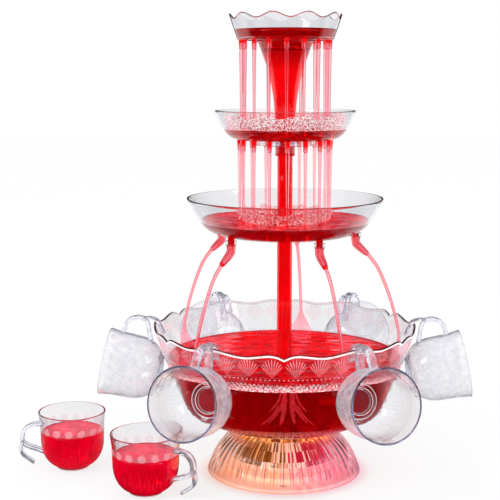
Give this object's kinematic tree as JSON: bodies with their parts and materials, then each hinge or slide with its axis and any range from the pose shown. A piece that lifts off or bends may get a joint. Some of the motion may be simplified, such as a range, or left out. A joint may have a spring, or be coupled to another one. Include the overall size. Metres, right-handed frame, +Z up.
{
  "type": "three-tier beverage dispenser",
  "caption": "Clear plastic punch fountain: lighted fluted base, scalloped bowl, stacked drip tiers on a riser column with arc spouts, and hook-handled cups hung on the rim.",
  "frame": {"origin": "on the table, under the middle of the base", "axes": "+Z up along the riser column, -Y towards the front, +X to the right as seen from the front"},
  "size_m": [0.6384, 0.4828, 0.635],
  "materials": {
    "clear_plastic": "clear moulded polystyrene, polished",
    "white_plastic": "moulded, fine matt",
    "black_plastic": "moulded, fine matt",
    "gold_metallised": "gold metallised plastic, bright",
    "steel": "plain",
    "rubber": "matt",
    "silicone": "translucent silicone",
    "circuit_board": "white solder mask",
    "amber_lamp": "lit lamp lens",
    "pink_lamp": "lit lamp lens",
    "magnet": "sintered, dark",
    "lead_sheath": "soft sheath"
  },
  "bodies": {
    "base": {"base_shell": "clear_plastic", "base_floor": "white_plastic", "rubber_feet": "rubber", "floor_screws": "steel", "motor_screws": "steel", "light_board": "circuit_board", "amber_lamps": "amber_lamp", "pink_lamps": "pink_lamp", "light_reflector": "gold_metallised", "bowl_seat_ring": "gold_metallised", "motor_can": "steel", "motor_mount": "white_plastic", "switch_housing": "black_plastic", "cord_gland": "black_plastic", "supply_leads": "lead_sheath"},
    "drive_rotor": {"motor_shaft": "steel", "drive_wheel": "white_plastic", "drive_magnets": "magnet"},
    "rocker": {"switch_rocker": "black_plastic"},
    "bowl": {"punch_bowl": "clear_plastic", "pump_housing": "clear_plastic", "impeller_pin": "steel", "pump_gasket": "silicone"},
    "pump_impeller": {"impeller": "white_plastic", "impeller_magnets": "magnet"},
    "large_tower": {"lower_column": "clear_plastic", "large_tier": "clear_plastic", "column_gasket": "silicone"},
    "middle_tower": {"upper_column": "clear_plastic", "middle_tier": "clear_plastic", "middle_nozzles": "clear_plastic", "cone_gasket": "silicone"},
    "top_tower": {"riser_cone": "clear_plastic", "top_tier": "clear_plastic", "top_nozzles": "clear_plastic"},
    "spout_1": {"arc_spout_1": "clear_plastic"},
    "spout_2": {"arc_spout_2": "clear_plastic"},
    "spout_3": {"arc_spout_3": "clear_plastic"},
    "spout_4": {"arc_spout_4": "clear_plastic"},
    "spout_5": {"arc_spout_5": "clear_plastic"},
    "cup_1": {"hung_cup_1": "clear_plastic"},
    "cup_2": {"hung_cup_2": "clear_plastic"},
    "cup_3": {"hung_cup_3": "clear_plastic"},
    "cup_4": {"hung_cup_4": "clear_plastic"},
    "cup_5": {"hung_cup_5": "clear_plastic"},
    "cup_6": {"hung_cup_6": "clear_plastic"},
    "table_cup_1": {"table_cup_1": "clear_plastic"},
    "table_cup_2": {"table_cup_2": "clear_plastic"}
  },
  "joints": [
    {"name": "motor_spin", "type": "hinge", "parent": "base", "child": "drive_rotor", "pos_m": [0, 0, 0.05], "axis": [0, 0, 1], "continuous": true},
    {"name": "switch_rock", "type": "hinge", "parent": "base", "child": "rocker", "pos_m": [0, 0.1, 0.016], "axis": [1, 0, 0], "range_deg": [-16, 0]},
    {"name": "bowl_lift", "type": "slide", "parent": "base", "child": "bowl", "axis": [0, 0, 1], "range_m": [0, 0.09]},
    {"name": "impeller_spin", "type": "hinge", "parent": "bowl", "child": "pump_impeller", "pos_m": [0, 0, 0.07], "axis": [0, 0, 1], "continuous": true},
    {"name": "large_tier_lift", "type": "slide", "parent": "bowl", "child": "large_tower", "axis": [0, 0, 1], "range_m": [0, 0.12]},
    {"name": "middle_tier_lift", "type": "slide", "parent": "large_tower", "child": "middle_tower", "axis": [0, 0, 1], "range_m": [0, 0.06]},
    {"name": "top_tier_lift", "type": "slide", "parent": "middle_tower", "child": "top_tower", "axis": [0, 0, 1], "range_m": [0, 0.06]},
    {"name": "spout_1_swivel", "type": "hinge", "parent": "large_tower", "child": "spout_1", "pos_m": [0.09877, 0.01564, 0.331], "axis": [0, 0, 1], "range_deg": [-60, 60]},
    {"name": "spout_2_swivel", "type": "hinge", "parent": "large_tower", "child": "spout_2", "pos_m": [0.01564, 0.09877, 0.331], "axis": [0, 0, 1], "range_deg": [-60, 60]},
    {"name": "spout_3_swivel", "type": "hinge", "parent": "large_tower", "child": "spout_3", "pos_m": [-0.0891, 0.0454, 0.331], "axis": [0, 0, 1], "range_deg": [-60, 60]},
    {"name": "spout_4_swivel", "type": "hinge", "parent": "large_tower", "child": "spout_4", "pos_m": [-0.07071, -0.07071, 0.331], "axis": [0, 0, 1], "range_deg": [-60, 60]},
    {"name": "spout_5_swivel", "type": "hinge", "parent": "large_tower", "child": "spout_5", "pos_m": [0.0454, -0.0891, 0.331], "axis": [0, 0, 1], "range_deg": [-60, 60]},
    {"name": "cup_1_unhook", "type": "slide", "parent": "bowl", "child": "cup_1", "axis": [0.3256, 0, 0.9455], "range_m": [0, 0.045]},
    {"name": "cup_2_unhook", "type": "slide", "parent": "bowl", "child": "cup_2", "axis": [0.1628, 0.282, 0.9455], "range_m": [0, 0.045]},
    {"name": "cup_3_unhook", "type": "slide", "parent": "bowl", "child": "cup_3", "axis": [-0.1628, 0.282, 0.9455], "range_m": [0, 0.045]},
    {"name": "cup_4_unhook", "type": "slide", "parent": "bowl", "child": "cup_4", "axis": [-0.3256, 0, 0.9455], "range_m": [0, 0.045]},
    {"name": "cup_5_unhook", "type": "slide", "parent": "bowl", "child": "cup_5", "axis": [-0.1628, -0.282, 0.9455], "range_m": [0, 0.045]},
    {"name": "cup_6_unhook", "type": "slide", "parent": "bowl", "child": "cup_6", "axis": [0.1628, -0.282, 0.9455], "range_m": [0, 0.045]},
    {"name": "table_cup_1_lift", "type": "slide", "parent": "base", "child": "table_cup_1", "axis": [0, 0, 1], "range_m": [0, 0.025]},
    {"name": "table_cup_2_lift", "type": "slide", "parent": "base", "child": "table_cup_2", "axis": [0, 0, 1], "range_m": [0, 0.025]}
  ],
  "couplings": [
    {"joint": "impeller_spin", "follows": "motor_spin", "ratio": 1}
  ]
}
